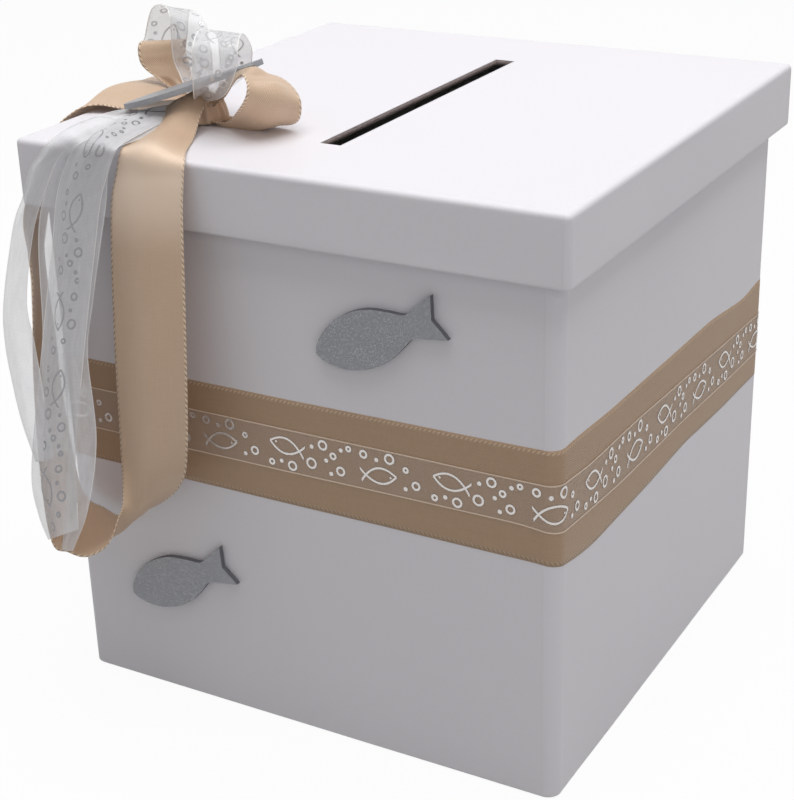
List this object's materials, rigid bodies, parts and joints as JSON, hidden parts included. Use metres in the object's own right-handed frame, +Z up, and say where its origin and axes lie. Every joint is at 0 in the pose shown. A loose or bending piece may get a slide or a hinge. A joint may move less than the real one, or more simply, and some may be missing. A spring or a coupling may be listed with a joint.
{
  "type": "wedding card box",
  "caption": "Square white lift-off-lid card box with a posting slot, satin and organza bands, a ribbon bow with long tails and flat wooden fish.",
  "frame": {"origin": "centre of the box's underside", "axes": "+Z up; the front wall with the two fish faces -Y; +X to the right as seen from the front"},
  "size_m": [0.2284, 0.2401, 0.2486],
  "materials": {
    "cover_paper": "smooth white covering paper with a slight sheen",
    "lining_paper": "matt white",
    "grey_board": "raw grey-brown board, seen only at the slot's cut edge",
    "kraft_tape": "matt kraft paper",
    "satin": "champagne satin with a soft sheen",
    "organza": "sheer white organza with a raised print of fish and rings",
    "clear_tape": "clear adhesive tape",
    "painted_ply": "silver-grey sparkling paint on plywood",
    "hot_glue": "milky hot-melt glue"
  },
  "bodies": {
    "box": {"base_paper": "lining_paper", "base_board": "grey_board", "wall_front_board": "grey_board", "wall_back_board": "grey_board", "wall_left_board": "grey_board", "wall_right_board": "grey_board", "body_corner_tapes": "kraft_tape", "body_wrap": "cover_paper", "body_liner_floor": "lining_paper", "body_liner_walls": "lining_paper", "satin_band": "satin", "organza_band": "organza", "band_end_tape": "clear_tape", "upper_fish": "painted_ply", "lower_fish": "painted_ply", "fish_glue_dots": "hot_glue"},
    "lid": {"lid_top_board": "grey_board", "lid_rim_front_board": "grey_board", "lid_rim_back_board": "grey_board", "lid_rim_left_board": "grey_board", "lid_rim_right_board": "grey_board", "lid_corner_tapes": "kraft_tape", "lid_wrap": "cover_paper", "lid_liner": "lining_paper", "bow_glue_pad": "hot_glue", "satin_long_loop": "satin", "satin_right_loop": "satin", "satin_left_loop": "satin", "organza_back_loop": "organza", "organza_front_loop": "organza", "organza_tail_inner": "organza", "organza_tail_side": "organza", "organza_tail_printed": "organza", "organza_tail_left": "organza", "bow_fish": "painted_ply", "bow_fish_glue": "hot_glue"}
  },
  "joints": [
    {"name": "lid_lift", "type": "slide", "parent": "box", "child": "lid", "axis": [0, 0, 1], "range_m": [0, 0.15]}
  ]
}
